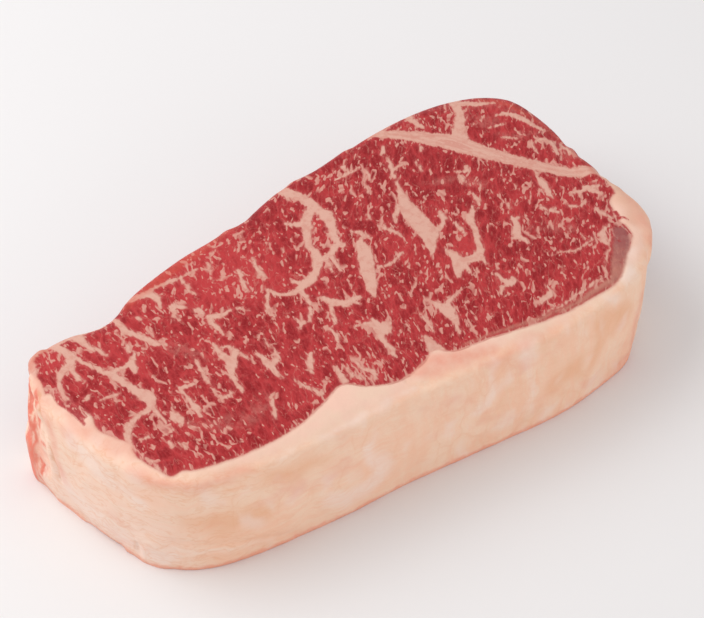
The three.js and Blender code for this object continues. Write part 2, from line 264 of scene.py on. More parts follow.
     (51.8, -16.8, 0.6)],
    [(54.4, -6.6, 1.2), (56.4, -6.6, 0.9)],
    [(51.4, -12.6, 1.6), (49.8, -12.7, 1)],
    [(73.2, 7.2, 0.8), (72, 4.6, 1.1), (71.2, 2, 2), (70.9, -0.6, 2.2), (69.9, -2.4, 1.9),
     (69.2, -4.8, 0.7)],
    [(52.6, 9.4, 0.6), (52, 6.6, 1.5), (50.7, 4.2, 0.8)],
    [(58.1, 20.3, 0.8), (57, 18.2, 1.4), (55.4, 19, 1.1), (54.4, 20, 0.7)],
    [(54.5, 17.4, 0.9), (53.4, 14.8, 0.7)],
    [(47.8, 29.6, 0.6), (47, 27.2, 1), (46.6, 25.4, 0.6)],
    [(52.6, 33.9, 0.9), (51.6, 32.6, 0.7)],
    [(57.6, 0.2, 1), (56.9, -1.8, 0.7)],
    [(64, -6.2, 0.7), (65.6, -9, 1.2), (67, -11.2, 0.9)],
    [(65.6, -9, 1.2), (67.6, -8.7, 0.7)],
    [(75.4, -6.4, 0.6), (77.5, -6.9, 1.4), (79.8, -7.2, 1)],
    [(76, -8.8, 0.8), (77.5, -7.4, 1)],
    [(72, -24.2, 0.8), (70.4, -25.6, 2.8), (69.2, -27.6, 1.8), (69.2, -29.8, 0.6)],
    [(70.4, -24.9, 1.2), (75, -23.5, 0.8)],
    [(76.4, -15.4, 1), (76.6, -18.6, 1.4), (77.4, -21.4, 0.8)],
    # beside the membrane of the broad end
    [(73.9, -25.1, 0.4), (70.7, -28.6, 0.3), (67.8, -31.7, 0.3), (64, -35.1, 0.3), (60.6, -39.2, 0.5),
     (56.8, -39.7, 0.8), (50.9, -40.6, 0.8), (47, -41.2, 0.7), (43.1, -41.8, 0.6), (37, -41.6, 0.3)],
    [(59.8, -26.9, 0.4), (66.3, -25.5, 0.7)],
    [(54, -24.2, 0.3), (57, -24.8, 0.5), (60.2, -26.6, 0.6), (63.9, -26.2, 0.5), (67.3, -25, 0.5)],
    [(82.1, -12, 1), (81, -9.6, 1.6), (79.9, -6.8, 2.4), (83.7, -8.2, 0.8)],
    [(76, -11.8, 0.8), (73.4, -12.4, 1), (71, -10.6, 0.7)],
    # the small muscle
    [(57.8, 48.6, 2.2), (57.6, 44.6, 1.9), (58.4, 41.4, 1.9)],
    [(47, 48, 1.4), (51, 47.8, 0.7)],
    [(73.5, 46.4, 3.6), (72.1, 44, 3), (70.7, 39.2, 2.7), (68, 36.2, 3), (65.2, 33.4, 3.8),
     (65.2, 30.6, 2.6)],
    [(73.6, 44.4, 2.2), (76.6, 42, 2.2), (79.4, 40, 1.6), (82, 38.4, 1)],
    [(79, 33.4, 0.8), (81.2, 33, 1.3), (83.2, 30.8, 1.8), (84.6, 27.6, 2), (85, 24.6, 1.6),
     (86.6, 20.8, 1.2)],
    [(74.4, 24.6, 0.5), (76, 23.4, 0.9), (77.6, 21.8, 0.7)],
    [(74, 30.2, 0.6), (76, 29.8, 0.9), (78, 29, 0.9)],
    [(78.6, 13, 0.5), (78.7, 15.2, 0.7), (79.8, 17, 0.8), (82, 17.9, 0.8), (84.2, 17.2, 1.2),
     (84.8, 14.8, 1.4), (84.2, 12.4, 1.3), (83.4, 10, 0.8)],
    [(87.2, 13.4, 1), (86.9, 10.6, 1.6), (85.8, 8, 1)],
]

# Lean that runs out into the fat, in the same form
LEAN_STREAKS = [
    [(-82.7, 1.4, 1.4), (-82.2, -2, 1.4), (-81.8, -5.4, 1.6)],
    [(-83.9, 7.5, 1.2), (-84.2, 3.1, 1.5), (-83.5, -0.6, 1.4), (-83.1, -3.9, 1.3), (-83.1, -7.3, 0.9)],
    [(-83.2, 9.8, 1), (-82.6, 8, 1.2), (-83, 6.8, 1.2), (-84, 6.4, 0.8)],
    [(49.4, 46.4, 1.6), (52.4, 45.2, 2.9), (55.2, 45.6, 2.4)],
    [(82.6, 3.2, 2), (85, 3.8, 4), (88, 3.6, 4)],
    [(76.3, -23.1, 0.9), (78.6, -22.4, 1.3), (80.3, -23, 0.9), (80.8, -24.6, 0.5)],
    [(79.2, -22.3, 1.1), (80, -19.6, 1.3)],
]

# Fat that runs on from the cap along the rims of both ends, in the same form
RIM_RUNS = [
    [(-88, 8, 4), (-87, 9.6, 4), (-86.7, 13, 4.4), (-86.6, 17, 4.2), (-86, 20.4, 3), (-84.6, 22.6, 1.4)],
    [(87, -3, 1), (87.6, -7, 2.4), (87.4, -11, 3.4), (86.6, -14.4, 3.6)],
]

# Where the fine marbling is richer or leaner: (x, y, reach, amount)
RICH_PATCHES = [
    (-42, -29, 14, -0.09), (-12, -32, 10, 0.1), (-60, -4, 12, -0.03), (-68, -22, 9, 0.05),
    (-20, 22, 14, 0.03), (-12, 16, 9, -0.04), (24, 2, 9, -0.05), (58, -14, 14, 0.04),
    (20, -20, 14, 0.04), (64, 18, 14, 0.05), (40, -10, 6, -0.1), (30, 32, 14, 0.04),
    (62, 42, 12, 0.03), (77, 30, 15, -0.06), (70, 24, 10, -0.02), (50, 24, 20, -0.045),
    (82, 6, 7, 0.05), (-68, -30, 12, -0.04), (70, 12, 12, -0.02),
]

# Where the lean is brighter or darker, in the same form
TONE_PATCHES = [
    (-22, 20, 22, 0.34), (-40, 22, 14, 0.12), (80, 34, 9, 0.06), (-78, 18, 7, 0.3), (72, 37, 9, -0.16),
    (-60, 10, 20, 0.08), (-42, -28, 12, -0.06), (-55, -30, 12, -0.06), (38, -8, 8, 0.3),
    (22, 4, 8, 0.1), (-12, -32, 9, 0.16), (-75, 14, 7, 0.15), (56, -12, 16, -0.05), (46, 26, 24, -0.12),
]

# Where a thin pale film lies over the lean, as strokes (x, y, width)
VEILS = [
    [(66, 46, 2), (72, 42.5, 3), (78, 41, 4), (82, 37.5, 3.4), (84.6, 32.5, 2.4)],
    [(71, 37, 4), (74, 33.6, 5), (77, 31.6, 3)],
    [(75, 25.4, 3), (79.6, 21.4, 3), (84.4, 20, 2.4)],
    [(84.6, 13, 3), (85.4, 7, 4)],
    [(-62, -22, 2), (-56, -27.6, 4), (-49, -30, 5), (-43, -28.6, 5), (-40, -25, 2)],
    [(-53, 8, 3), (-48.6, 1.9, 4), (-45.5, -4, 2)],
    [(44, 21, 2), (51, 17.4, 3), (57, 11.5, 3)],
    [(56, -12, 2), (60, -14, 4), (65, -18.4, 3)],
]

# The skin that shows between the lean and the cap at the broad end, in the same form
SILVERSKIN = [
    [(75.6, -26.8, 3.6), (73.6, -30.2, 4.8), (70.3, -33.5, 4.4), (67.2, -36.5, 4), (64, -39.8, 3.4),
     (61.2, -41.4, 1.8), (56.6, -41.6, 1.5), (52.5, -42.2, 1.4), (47.9, -42.8, 1.2), (43.6, -42.8, 1),
     (37.2, -42.3, 0.9), (29.7, -41.2, 0.8), (24, -40, 0.6), (13, -38.5, 0.4)],
]

# The redder strip along the bare back edge and round both ends, in the same form
BACK_FLUSH = [
    [(-52, 24.6, 3), (-45, 27.6, 4.5), (-28, 32, 5), (-10, 37, 4.5), (0, 41.4, 3.5), (20, 45.6, 3),
     (42, 48.2, 3), (60, 49.6, 2)],
    [(-91.4, 2, 2), (-90.6, 9, 4), (-88, 15, 2)],
    [(-83.6, 18.6, 1.4), (-80.4, 22.4, 1.8), (-76.4, 22.6, 1.6)],
    [(80, 43, 1.8), (86, 34, 1.8), (88.6, 22, 1.8), (88.4, 12, 1.6), (86.8, 4, 1.6), (86, -4, 1.6)],
]

# Lean that shows on the side of the narrow end, as strokes (y, z, width)
SIDE_FLESH = [
    [(10.6, 31.2, 0.8), (9.2, 29.6, 2.2), (9, 27.2, 3.4), (9.2, 24.4, 3), (9.8, 21.6, 1.6),
     (10.4, 18.6, 1.2)],
    [(16, 30.6, 2), (14.4, 28, 5), (14, 22, 6), (13.6, 16, 6), (13, 8, 6), (12.4, 2, 5)],
    [(9.2, 21.4, 0.9), (7.8, 19.8, 0.6)],
    [(10.6, 17.8, 1.2), (8.4, 16.9, 2), (6.4, 17.2, 1.5), (4.4, 17.9, 0.5)],
    [(9.8, 11, 1.2), (8, 9.8, 2.4), (6.6, 8.8, 3.2), (6, 7.4, 2.4)],
    [(9.6, 10, 1.4), (9, 6, 1.8), (7.6, 2.6, 1)],
]

# Painted shade along the depths of the narrow creases in the fat of the narrow end, in the same form
CREASE_SHADE_STROKES = [
    [(9.6, 31.3, 0.2), (6.8, 30.1, 0.4), (4.8, 27.4, 0.5), (3, 23.6, 0.2)],
    [(1, 21, 0.2), (0, 18.8, 0.4), (-1.2, 15.6, 0.4), (-2.4, 11, 0.2)],
]

# Pinker places on the fat, as strokes (x, y, z, width)
BLUSHES = [
    [(-84.8, -2, 32, 1), (-83, -9.9, 31.8, 1.8), (-81.2, -16.6, 31.6, 1.8), (-79.6, -22.9, 31.4, 1.6)],
    [(-80.9, -26.7, 30.6, 1.6), (-78.5, -31.5, 30.4, 2), (-73.5, -38.3, 30.2, 2.6),
     (-67.1, -41.2, 30.6, 2.4), (-62, -42.6, 31, 2), (-57.2, -43.8, 31, 1.4)],
    [(-5.6, -39, 32.6, 4), (2.1, -40.4, 32.4, 7), (10.8, -41.6, 32.2, 6), (17.7, -43.4, 32.2, 3)],
    [(-86, 14, 32.4, 2), (-87.2, 8, 32, 2.4), (-85.8, 2, 32.4, 1.6)],
    [(-88.5, 6.4, 30.6, 1.4), (-88.7, 1.8, 28.3, 1.8), (-89.2, -1.7, 18.8, 2), (-88.7, -5.3, 11.6, 1.2)],
    [(82, -33, 30.5, 3), (85.5, -25, 29, 5), (88.5, -12, 29, 5), (90, 0, 29, 4)],
    [(72, -42, 22, 2.4), (70, -44, 15.7, 3), (69.6, -43.6, 8.6, 3), (69, -43, 3, 3), (64, -45.2, 3, 2)],
    [(13.1, -46, 30.8, 1), (20.7, -46.8, 30.9, 1.2), (32.7, -46.7, 31.3, 1)],
    [(-90.6, 12, 28, 4), (-90.8, 10, 14, 5), (-90.2, 8, 3, 4)],
]

# Tan places on the fat and, below them, cream ones, in the same form; one cream stroke is a painted highlight
# along the top front edge of the cap
TANS = [
    [(79, -29, 32, 3), (83, -24, 31, 6), (85.4, -18, 31, 7), (88, -9, 29, 7), (90, 3, 26, 5)],
    [(-73.3, -40.7, 18, 6), (-63.9, -44.6, 16.8, 10), (-55.9, -46, 15, 7)],
    [(-52.4, -45.8, 26.1, 5), (-43.8, -46.6, 25.3, 6), (-36.6, -47.1, 24.4, 4)],
    [(37.4, -50.2, 15.1, 9), (48.4, -49.2, 15.7, 10), (52, -48.2, 24.1, 9), (63, -46, 22, 8)],
    [(20, -47.9, 30, 1), (17.9, -48.7, 24.6, 1), (20.1, -49.3, 18.4, 1), (17.5, -49.2, 12.4, 1)],
    [(33.3, -49.1, 29.2, 1), (35.8, -49.8, 23, 1), (34.6, -50.2, 16.6, 1), (40.2, -49.8, 8.8, 1)],
]
CREAMS_AND_RIM_HIGHLIGHT = [
    [(-89.4, -3, 14, 4), (-88, -8, 8, 6), (-85.4, -19, 6.5, 7), (-81.8, -29, 5, 7), (-77, -37, 5, 5)],
    [(-35.3, -47.4, 10, 5), (-29, -47.3, 6.2, 7), (-21.3, -47.6, 9.2, 7), (-18.2, -47.7, 13.2, 6),
     (-23, -47.6, 21.3, 5)],
    [(11.6, -48.8, 17.3, 3), (14.7, -48.9, 19.3, 5), (16.4, -48.5, 25.3, 5)],
    [(27.6, -48.8, 29.5, 1.2), (26.4, -49.5, 22.4, 2), (29.2, -49.9, 13.9, 2), (25, -49.3, 8.3, 1.4)],
    [(46.2, -48.7, 27.4, 1.4), (48.9, -49, 20.8, 2), (46.6, -49.4, 15.1, 1.6)],
    [(79.4, -28.4, 33, 2), (76.4, -33, 33, 3), (70.6, -39.4, 32.6, 4), (64.6, -43.6, 31.8, 4)],
    # a painted highlight along the rounded top front edge of the cap
    [(-52, -44.6, 31.6, 1), (-44, -45.4, 31.8, 1.6), (-34, -45.4, 31.8, 1.8), (-24, -44.8, 31.9, 1.8),
     (-12, -45, 31.9, 1.6), (-2, -46, 31.6, 1)],
    [(-87, -7, 29, 6), (-85.4, -16, 26, 6), (-80, -29, 22, 5)],
    [(-77.2, -37.3, 8, 1.4), (-68.1, -43.2, 7, 1.6), (-61.4, -44.8, 6, 1.6), (-52.9, -45.7, 3.4, 1.2)],
]

# How far outside the edge of its strokes each field begins, and where it is full
STROKE_FIELDS = {
    "veil": (VEILS, 1.8, -1.6),
    "skin": (SILVERSKIN, 0.5, -0.7),
    "flesh": (SIDE_FLESH, 0.6, -0.5),
    "crease_shade": (CREASE_SHADE_STROKES, 0.45, -0.1),
    "flush": (BACK_FLUSH, 1.2, -1.2),
    "blush": (BLUSHES, 2.4, -1.8),
    "tan": (TANS, 4, -4),
    "cream": (CREAMS_AND_RIM_HIGHLIGHT, 2.6, -2.4),
}

# Folds and dents: how deep each is, less than nothing for a swelling, how far outside its stroke it begins,
# then (x, y, z, width) at each corner
FOLDS = [
    (-0.9, 2, [(-83, 20, 31, 3), (-79.5, 23.5, 31, 3)]),
    (-0.8, 3, [(87.6, 9, 29, 5), (86.4, -3, 29, 7), (87, -14, 28, 7), (85.8, -24, 27, 8),
               (82.6, -32, 27, 6)]),
    (-0.9, 3, [(87, 8, 29, 4), (86, 1, 29, 6), (86, -5, 29, 4)]),
    (-0.7, 3, [(16, 43, 30, 4), (22, 44, 30, 5), (30, 45.6, 30, 5), (34, 46.6, 30, 3)]),
    (-0.8, 4, [(-80.4, -32, 0, 5), (-79.4, -33, 8, 4)]),
    (0.9, 2, [(-90.4, 7, 1, 4), (-91.4, 1.4, 1, 4), (-90.6, -5, 1, 4), (-88.8, -11, 1, 4), (-86, -14, 1, 4),
              (-84.2, -22, 1, 3)]),
    (1.3, 3, [(-86.5, 19.5, 29, 6), (-86.5, 19.5, 17, 6), (-90.5, 12.5, 17, 6), (-90.5, 12.5, 29, 6),
              (-88.6, 16, 29, 6), (-88.6, 16, 17, 6)]),
    (0.8, 0.9, [(-88.2, 9.2, 31, 1), (-89, 6.8, 30.1, 1.4), (-89.6, 4.8, 27.4, 1.6), (-89.8, 3, 23.6, 1)]),
    (0.6, 0.9, [(-90, 1, 21, 1), (-89.9, 0, 18.8, 1.6), (-89.7, -1.2, 15.6, 1.4), (-89.4, -2.4, 11, 0.8)]),
    (0.5, 0.8, [(-6.8, -41.6, 32.3, 0.8), (-4.5, -43.7, 31.7, 1.2), (-1.9, -45.5, 30.9, 0.8)]),
    (0.35, 0.9, [(-77.2, -37.3, 10.8, 2), (-73.5, -40.5, 10.6, 2), (-68.1, -43.2, 9.2, 2),
                 (-61.4, -44.8, 7.7, 2), (-52.9, -45.7, 5.1, 1.6), (-43.6, -45.9, 2, 1)]),
    (0.7, 0.9, [(72, -41.5, 5.5, 1.2), (68.8, -43.2, 4, 2), (63, -45.4, 3.6, 1.4)]),
    (0.8, 0.9, [(-83.4, -30, 1, 1), (-82.4, -29.4, 3.4, 1.8), (-82, -29, 6, 1)]),
    (1.4, 3, [(-91, 14, 26, 6), (-91.4, 8, 22, 8), (-91, 6, 12, 6)]),
    (0.9, 1.2, [(-91, 12, 13.6, 1), (-91, 7, 13.4, 2), (-90.6, 3, 13, 1)]),
]


def smooth_line(corners, steps=8):
    """Points along a smooth line through these corners, as an array, with no overshoot at uneven corners."""
    path = np.array(corners, float)
    path = np.vstack((2 * path[0] - path[1], path, 2 * path[-1] - path[-2]))
    line = []
    for a, b, c, d in zip(path, path[1:], path[2:], path[3:]):
        p, q, r = (np.linalg.norm(gap) ** 0.5 for gap in (b - a, c - b, d - c))
        leaving = (p * p * c - q * q * a + (2 * p * p + 3 * p * q + q * q) * b) / (3 * p * (p + q))
        arriving = (r * r * b - q * q * d + (2 * r * r + 3 * r * q + q * q) * c) / (3 * r * (r + q))
        line += geometry.interpolate_bezier(b, leaving, arriving, c, steps)[:-1]
    return np.array([tuple(point)[:2] for point in line] + [corners[-1]])


def eased(values, start, full):
    """0 before start and 1 past full, with a soft rise between."""
    share = np.clip((values - start) / (full - start), 0, 1)
    return share * share * (3 - 2 * share)


def end_shift(x):
    """How far the sides at x have moved at the underside."""
    spread, start, full = NARROW_END
    shift = spread * eased(x, start, full)
    spread, start, full = BROAD_END
    return shift + spread * eased(x, start, full)


def upright(points):
    """Where each point would be if the ends of the steak didn't slant, in millimetres across the cut face."""
    depth = 1 - points[:, 2] / THICKNESS
    x = points[:, 0].copy()
    for _ in range(4):
        x = points[:, 0] - end_shift(x) * depth
    return np.column_stack((x, points[:, 1]))


def beside(points, start, end):
    """How far along this stretch the place nearest to each point is, from 0 to 1, and how far off it is."""
    along, away = end - start, points - start
    share = np.clip(away @ along / (along @ along), 0, 1)
    return share, np.linalg.norm(away - share[:, None] * along, axis=1)


def side_of_line(flat, line):
    """Distance of each flat point from a line, positive on the line's left."""
    nearest = np.full(len(flat), np.inf)
    side = np.ones(len(flat))
    for start, end in zip(line, line[1:]):
        distance = beside(flat, start, end)[1]
        along, away = end - start, flat - start
        turn = along[0] * away[:, 1] - along[1] * away[:, 0]
        closer = distance < nearest
        nearest[closer] = distance[closer]
        side[closer] = np.sign(turn[closer])
    return np.clip(nearest, 0, FAR) * side


def depth_in(points, strokes):
    """Distance of each point from the edge of the nearest stroke, negative inside it."""
    nearest = np.full(len(points), FAR)
    for stroke in strokes:
        corners = np.array(stroke, float)
        for start, end in zip(corners, corners[1:]):
            low = np.minimum(start, end)[:-1] - REACH
            high = np.maximum(start, end)[:-1] + REACH
            near = np.nonzero(((points > low) & (points < high)).all(axis=1))[0]
            share, distance = beside(points[near], start[:-1], end[:-1])
            width = start[-1] + share * (end[-1] - start[-1])
            nearest[near] = np.minimum(nearest[near], distance - width / 2)
    return nearest


def wobble(points, waves):
    """A smooth random offset for each point, of those waves, the same each time for the same seed."""
    size, reach, seed = waves
    noise.seed_set(seed)
    return reach * np.array([noise.noise_vector(Vector(p) / size) for p in points.tolist()])


def points_of(mesh):
    """The mesh's points in millimetres, as an array."""
    flat = np.empty(len(mesh.vertices) * 3)
    mesh.vertices.foreach_get("co", flat)
    return flat.reshape(-1, 3) / MM


def set_points(mesh, points):
    """Moves the mesh's points to these places in millimetres."""
    mesh.vertices.foreach_set("co", (points * MM).ravel())
    mesh.update()


def evaluated(shape, *modifiers):
    """A mesh of the shape with these modifiers applied, each a type and its settings."""
    for kind, settings in modifiers:
        modifier = shape.modifiers.new(kind.lower(), kind)
        for key, value in settings.items():
            setattr(modifier, key, value)
    bpy.context.view_layer.update()
    seen = shape.evaluated_get(bpy.context.evaluated_depsgraph_get())
    mesh = bpy.data.meshes.new_from_object(seen)
    shape.modifiers.clear()
    return mesh


def linked(name, mesh):
    """A new object of this mesh in the scene."""
    shape = bpy.data.objects.new(name, mesh)
    bpy.context.collection.objects.link(shape)
    return shape


def shaped(name, form):
    """A new object of this bmesh in the scene."""
    mesh = bpy.data.meshes.new(name)
    form.to_mesh(mesh)
    form.free()
    return linked(name, mesh)


def steak_block(look):
    """The whole steak as one closed, finely meshed form, from copies of the four CAD nodes."""
    form = bmesh.new()
    for name in NODES:
        form.from_mesh(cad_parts[name].data)
    bmesh.ops.remove_doubles(form, verts=form.verts, dist=0.001 * MM)
    form.normal_update()
    for vert in form.verts:
        vert.co += vert.normal * look.closing
    block = shaped("block", form)
    block.data = evaluated(
        block,
        ("REMESH", {"mode": "VOXEL", "voxel_size": look.fineness}),
        ("DISPLACE", {"strength": -look.closing, "mid_level": 0}),
        ("SMOOTH", {"factor": 0.5, "iterations": look.softening}),
    )
    sculpted(block.data, look)


def sculpted(mesh, look):
    """Presses lumps, folds and the groove beside the lean into the smooth form."""
    points = points_of(mesh)
    normals = np.empty(points.size)
    mesh.vertices.foreach_get("normal", normals)
    normals = normals.reshape(-1, 3)
    cap = -side_of_line(upright(points), smooth_line(CAP_SEAM))
    height = points[:, 2]
    lumps = wobble(points, BROAD_LUMPS)[:, 0] + wobble(points, SMALL_LUMPS)[:, 1] - 0.3
    sunk = -look.lumps / MM * eased(cap, *LUMPY_FAT) * eased(height, *LUMPS_ABOVE) * lumps
    sunk += GROOVE_DEPTH * np.exp(-((cap / GROOVE_WIDTH) ** 2)) * eased(height, *GROOVE_ABOVE)
    bent = points + wobble(points, BENT_FOLDS)
    for deep, soft, stroke in FOLDS:
        sunk += deep * eased(depth_in(bent, [stroke]), soft, -0.9)
    points -= normals * sunk[:, None]
    points[:, 2] -= FOOT_DROP * eased(points[:, 2], *FOOT_BELOW)
    low, high = (np.array(corner) / MM for corner in CAD_BOX)
    points = np.clip(points, low + (CLEARANCE, CLEARANCE, 0), high - CLEARANCE)
    set_points(mesh, points)


def cutter(name, outline):
    """A closed wall of this outline, taller than the steak and slanting where the steak does."""
    form = bmesh.new()
    face = form.faces.new([form.verts.new((x, y, -OVERLAP)) for x, y in outline])
    raised = bmesh.ops.extrude_face_region(form, geom=[face])
    verts = [part for part in raised["geom"] if isinstance(part, bmesh.types.BMVert)]
    bmesh.ops.translate(form, verts=verts, vec=(0, 0, THICKNESS + 2 * OVERLAP))
    for vert in form.verts:
        vert.co.x += end_shift(np.array([vert.co.x]))[0] * (1 - vert.co.z / THICKNESS)
        vert.co *= MM
    bmesh.ops.recalc_face_normals(form, faces=form.faces)
    return shaped(name, form)


def cap_region():
    """The ground that the fat cap covers: everything in front of its seam."""
    (x, y), line = OUTSIDE, smooth_line(CAP_SEAM)
    return [*line, (-x, line[-1][1]), (-x, -y), (x, -y), (x, line[0][1])]


def seam_region():
    """The ground between the two sides of the seam of fat."""
    inner, outer = smooth_line(SEAM_INNER), smooth_line(SEAM_OUTER)
    return [*inner, *outer[::-1]]


def side_region():
    """The ground behind the seam of fat, at the back of the broad end."""
    (x, y), line = OUTSIDE, smooth_line(SEAM_OUTER)
    return [*line, (x, line[-1][1]), (x, y), (line[0][0], y)]


def carved(name, steps):
    """A piece of the whole form after these Boolean steps, each an operation and a region."""
    shape = linked(name, bpy.data.objects["block"].data.copy())
    for operation, region in steps:
        blade = cutter("blade", region)
        settings = {"operation": operation, "object": blade, "solver": "MANIFOLD"}
        shape.data = evaluated(shape, ("BOOLEAN", settings))
        bpy.data.objects.remove(blade)
    return shape


def patched(flat, patches):
    """The sum of these round soft patches at each place."""
    total = np.zeros(len(flat))
    for x, y, reach, amount in patches:
        distance = np.linalg.norm(flat - (x, y), axis=1)
        total += amount * eased(distance, reach, reach * 0.3)
    return total


def shown(name, places):
    """How far the strokes of that field cover each place, from 0 to 1."""
    strokes, start, full = STROKE_FIELDS[name]
    return eased(depth_in(places, strokes), start, full)


def painted(shape):
    """Writes the fields that the finish reads into the piece's mesh."""
    mesh = shape.data
    points = points_of(mesh)
    depth = np.clip(THICKNESS - SIDES_BELOW - points[:, 2], 0, None)
    flat = upright(points)
    ragged = (wobble(points, BROAD_RAGS) + wobble(points, FINE_RAGS))[:, :2]
    drift = wobble(points, VEIN_DRIFT)[:, :2] * depth[:, None]
    torn = (points + wobble(points, TORN_FLESH))[:, 1:]
    soft = points + wobble(points, SOFT_PLACES)
    narrow_end = eased(points[:, 0], *NARROW_FACE)

    veins = depth_in(flat + ragged + drift, VEINS)
    cap = -side_of_line(flat + 0.5 * ragged, smooth_line(CAP_SEAM))
    cap = np.minimum(cap, depth_in(flat + ragged, RIM_RUNS))
    inner = side_of_line(flat + ragged, smooth_line(SEAM_INNER))
    outer = side_of_line(flat + ragged, smooth_line(SEAM_OUTER))
    seam = np.maximum(-inner, outer)
    streaks = depth_in(flat + 0.4 * ragged, LEAN_STREAKS)
    fields = {
        "lean": np.maximum(np.minimum(np.minimum(cap, veins), seam), -streaks),
        "cap": cap,
        "seam": seam,
        "rich": patched(flat, RICH_PATCHES),
        "tone": patched(flat, TONE_PATCHES),
        "veil": shown("veil", flat + 2 * ragged),
        "skin": shown("skin", flat + 0.8 * ragged) * eased(depth, 3, 0),
        "flesh": shown("flesh", torn) * narrow_end,
        # where the painted shade of the creases of the narrow end lies
        "crease_shade": shown("crease_shade", torn) * narrow_end,
        "flush": shown("flush", flat + 2 * ragged) * (0.3 + 0.7 * eased(depth, 7, 0)),
        "blush": 0.8 * shown("blush", soft),
        # the cream strokes lower this field, and so does the painted highlight along the cap's top front edge
        "warm": 0.7 * shown("tan", soft) - 0.8 * shown("cream", soft),
    }
    for name, values in fields.items():
        layer = mesh.attributes.new(name, "FLOAT", "POINT")
        layer.data.foreach_set("value", values.astype(np.float32))
    lay = GRAIN_LAY + GRAIN_MORE * eased(flat[:, 0], *GRAIN_TURNS)
    grain = np.column_stack((flat[:, 0] - lay * flat[:, 1], flat[:, 1], points[:, 2]))
    layer = mesh.attributes.new("grain", "FLOAT_VECTOR", "POINT")
    layer.data.foreach_set("vector", grain.astype(np.float32).ravel())


def make_piece(name, node, slot, *steps):
    """Carves a piece and gives it its fields, smooth shading, finish and place in the frame."""
    shape = carved(name, steps)
    painted(shape)
    shape.data.shade_smooth()
    shape.data.set_sharp_from_angle(angle=SHARP)
    shape.data.materials.clear()
    shape.data.materials.append(bpy.data.materials["raw_beef"])
    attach(shape, "root")
    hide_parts(node)


class Wire:
    """An output of a node that arithmetic can be written on."""

    def __init__(self, graph, socket):
        self.graph, self.socket = graph, socket

    def __add__(self, other):
        return self.graph.math("ADD", self, other)

    def __sub__(self, other):
        return self.graph.math("SUBTRACT", self, other)

    def __rsub__(self, other):
        return self.graph.math("SUBTRACT", other, self)

    def __mul__(self, other):
        return self.graph.math("MULTIPLY", self, other)

    def __abs__(self):
        return self.graph.math("ABSOLUTE", self)

    __radd__, __rmul__ = __add__, __mul__


class Graph:
    """The nodes of one material, and a method for each kind of node."""

    def __init__(self, name):
        self.material = bpy.data.materials.new(name)
        self.material.use_nodes = True
        self.tree = self.material.node_tree
        self.tree.nodes.clear()

    def node(self, kind, settings, sockets, output=0):
        """Adds a node, sets its settings and then its sockets, and gives back one output."""
        made = self.tree.nodes.new(kind)
        for key, value in settings.items():
            setattr(made, key, value)
        for key, value in sockets.items():
            if isinstance(value, Wire):
                self.tree.links.new(value.socket, made.inputs[key])
            else:
                made.inputs[key].default_value = value
        return Wire(self, made.outputs[output]) if made.outputs else made

    def math(self, operation, *values):
        """The result of this operation on these values."""
        return self.node("ShaderNodeMath", {"operation": operation}, dict(enumerate(values)))

    def ramp(self, value, low, high):
        """0 up to low and 1 from high on, with a soft rise between; low may be the greater."""
        sockets = {"Value": value, "From Min": low, "From Max": high}
        return self.node("ShaderNodeMapRange", {"interpolation_type": "SMOOTHSTEP"}, sockets)

    def mix(self, factor, a, b):
        """Colour a, turning into colour b as factor goes to 1."""
        a, b = (tint if isinstance(tint, Wire) else colour(tint) for tint in (a, b))
        return self.node("ShaderNodeMix", {"data_type": "RGBA"}, {0: factor, 6: a, 7: b}, 2)

    def field(self, name, output="Fac"):
        """One of the fields that are written into the pieces."""
        return self.node("ShaderNodeAttribute", {"attribute_name": name}, {}, output)

    def scaled(self, vector, scale):
        """The vector times this scale, axis by axis."""
        return self.node("ShaderNodeVectorMath", {"operation": "MULTIPLY"}, {0: vector, 1: scale})

    def plus(self, vector, other):
        """The sum of two vectors."""
        return self.node("ShaderNodeVectorMath", {"operation": "ADD"}, {0: vector, 1: other})

    def part(self, vector, axis):
        """The vector's value along one axis, 0 to 2."""
        return self.node("ShaderNodeSeparateXYZ", {}, {"Vector": vector}, axis)

    def joined(self, x, y, z):
        """A vector of these three values."""
        return self.node("ShaderNodeCombineXYZ", {}, {"X": x, "Y": y, "Z": z})

    def noise(self, vector, scale, detail, roughness=0.5, output=0):
        """Noise at that scale, which is one number or one for each axis."""
        if isinstance(scale, tuple):
            vector, scale = self.scaled(vector, scale), 1
        sockets = {"Vector": vector, "Scale": scale, "Detail": detail, "Roughness": roughness}
        return self.node("ShaderNodeTexNoise", {}, sockets, output)

    def cells(self, vector, feature="DISTANCE_TO_EDGE", output="Distance"):
        """Distance from the nearest gap between cells, or another feature of them."""
        return self.node("ShaderNodeTexVoronoi", {"feature": feature}, {"Vector": vector, "Scale": 1}, output)

    def coats(self, base, *coats):
        """The base colour under these coats in turn, each a share from 0 to 1 and a colour."""
        for share, tint in coats:
            base = self.mix(share, base, tint)
        return base

    def finish(self, sockets):
        """Ends the nodes in one surface with these values, and gives back the material."""
        shader = self.node("ShaderNodeBsdfPrincipled", {}, sockets)
        self.node("ShaderNodeOutputMaterial", {}, {"Surface": shader})
        return self.material


def colour(rgb):
    """A colour with its alpha."""
    return (*rgb, 1.0)


def warped(graph, vector, scale, reach):
    """The vector pushed about by noise, by up to about half its reach."""
    push = graph.noise(vector, scale, 2, output=1)
    push = graph.plus(push, (-0.5, -0.5, -0.5))
    return graph.plus(vector, graph.scaled(push, (reach, reach, reach)))


def slivers(graph, place, gap, size, low, high, bias, widest):
    """Soft broken lines of fat along the gaps between cells, where noise of that size is high enough."""
    chance = graph.noise(place, size, 1) + bias
    share = graph.ramp(chance, low, high)
    return graph.ramp(gap, share * widest, 0.0) * graph.ramp(share, 0.0, 0.5)


